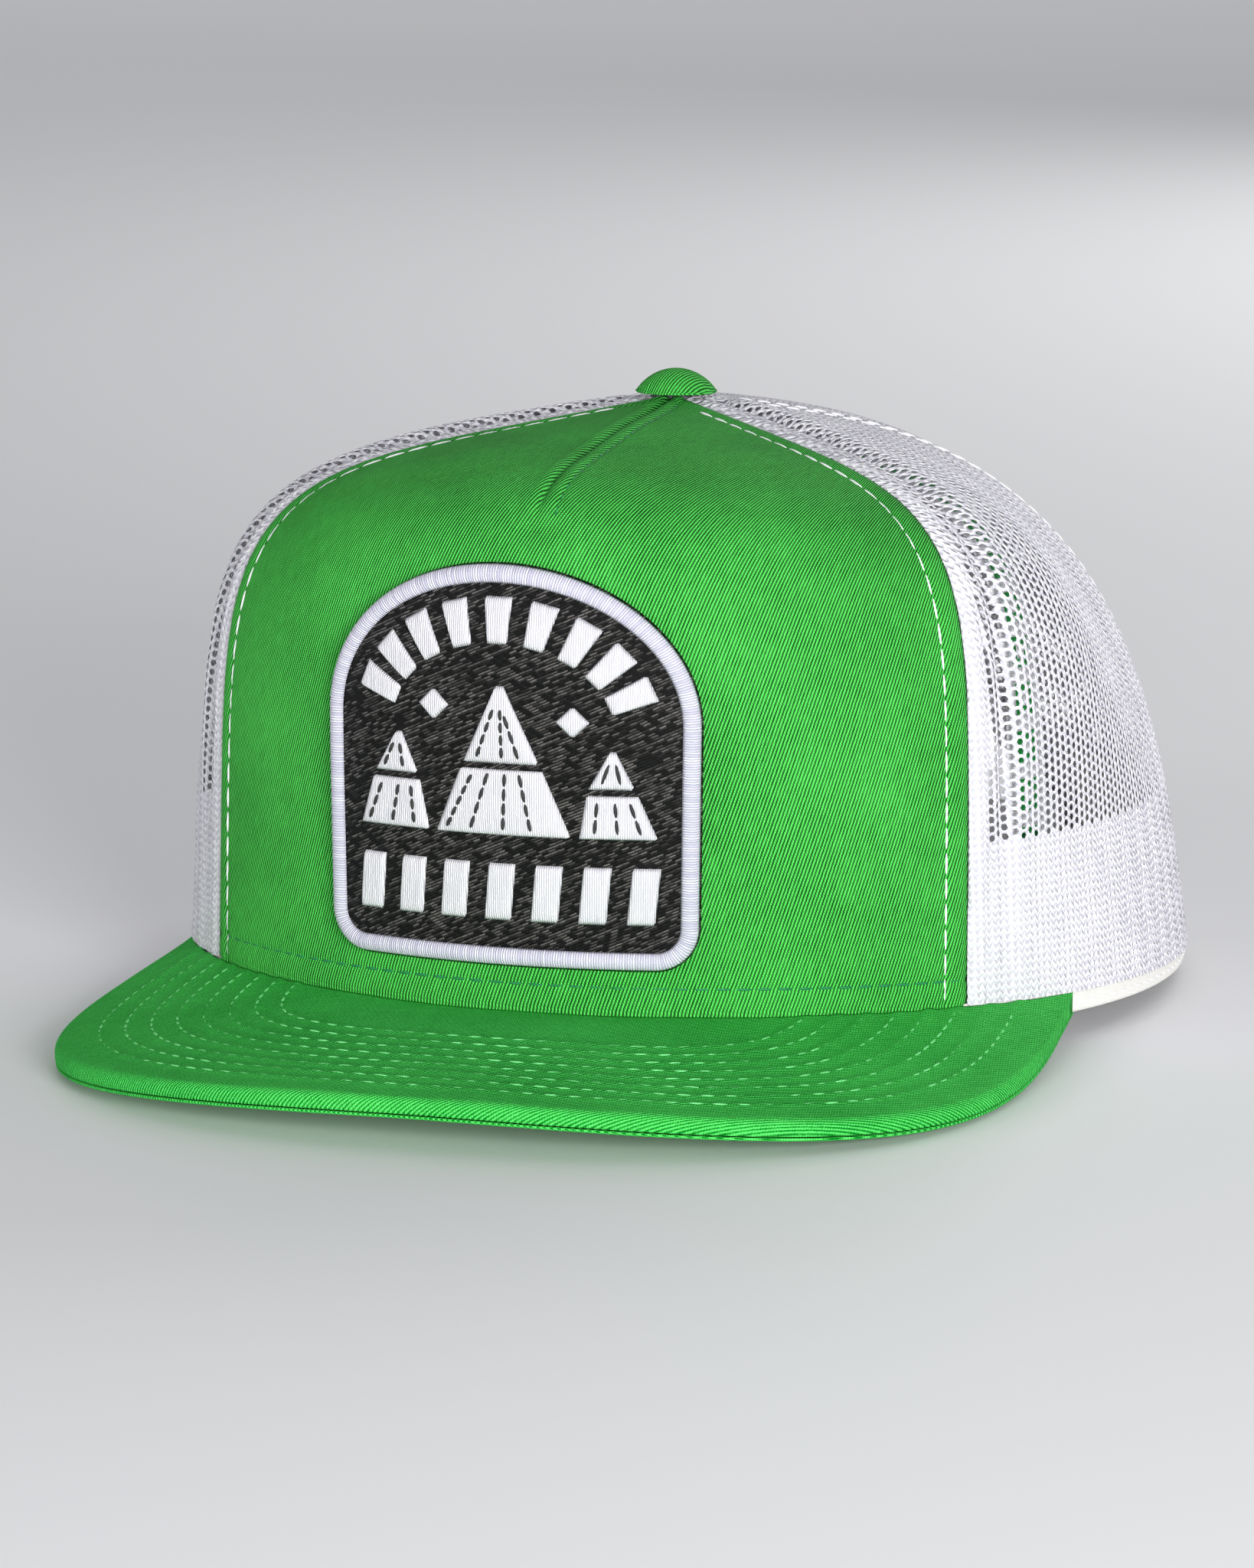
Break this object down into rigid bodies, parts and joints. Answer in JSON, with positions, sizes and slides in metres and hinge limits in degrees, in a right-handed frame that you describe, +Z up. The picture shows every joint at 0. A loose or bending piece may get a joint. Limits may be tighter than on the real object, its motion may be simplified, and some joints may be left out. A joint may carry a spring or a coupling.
{
  "type": "trucker mesh cap",
  "caption": "Five-panel trucker cap with a stiff front, knitted mesh sides and back, a flat visor, a sewn front patch and a snap strap across the rear arch.",
  "frame": {"origin": "centre of the head opening, on the surface that the cap rests on", "axes": "-Y towards the visor, +X towards the wearer's left, +Z up"},
  "size_m": [0.191, 0.2578, 0.1169],
  "materials": {
    "green_twill": "matte",
    "white_mesh": "matte",
    "buckram": "matte",
    "visor_plastic": "matte",
    "cream_cotton": "matte",
    "white_tape": "matte",
    "printed_tape": "matte",
    "button_metal": "satin",
    "black_stitch": "satin",
    "white_stitch": "satin",
    "strap_plastic": "satin"
  },
  "bodies": {
    "crown": {"front_panel": "green_twill", "front_backing": "buckram", "left_side_mesh": "white_mesh", "right_side_mesh": "white_mesh", "left_back_mesh": "white_mesh", "right_back_mesh": "white_mesh", "visor_top_cover": "green_twill", "visor_board": "visor_plastic", "visor_under_cover": "green_twill", "sweatband": "cream_cotton", "hem_tape": "cream_cotton", "arch_binding": "white_tape", "left_seam_tape": "white_tape", "right_seam_tape": "white_tape", "left_print_tape": "printed_tape", "right_print_tape": "printed_tape", "left_side_tape": "white_tape", "right_side_tape": "white_tape", "back_tape": "white_tape", "button_cover": "green_twill", "button_shell": "button_metal", "button_rivet": "button_metal", "patch_ground": "black_stitch", "patch_border": "white_stitch", "patch_motif": "white_stitch", "care_label": "white_tape", "hole_strap_tab": "strap_plastic", "peg_strap_tab": "strap_plastic"},
    "outer_strap": {"hole_strap": "strap_plastic"},
    "inner_strap": {"peg_strap": "strap_plastic"}
  },
  "joints": [
    {"name": "outer_strap_swing", "type": "hinge", "parent": "crown", "child": "outer_strap", "pos_m": [0.04564, 0.08143, 0.01092], "axis": [0, -0.0384, -0.9993], "range_deg": [0, 42], "stiffness_Nm_per_rad": 0.002},
    {"name": "inner_strap_swing", "type": "hinge", "parent": "crown", "child": "inner_strap", "pos_m": [-0.04485, 0.08016, 0.01097], "axis": [0, -0.0384, -0.9993], "range_deg": [0, 42], "stiffness_Nm_per_rad": 0.002}
  ],
  "couplings": [
    {"joint": "inner_strap_swing", "follows": "outer_strap_swing", "ratio": 1}
  ]
}
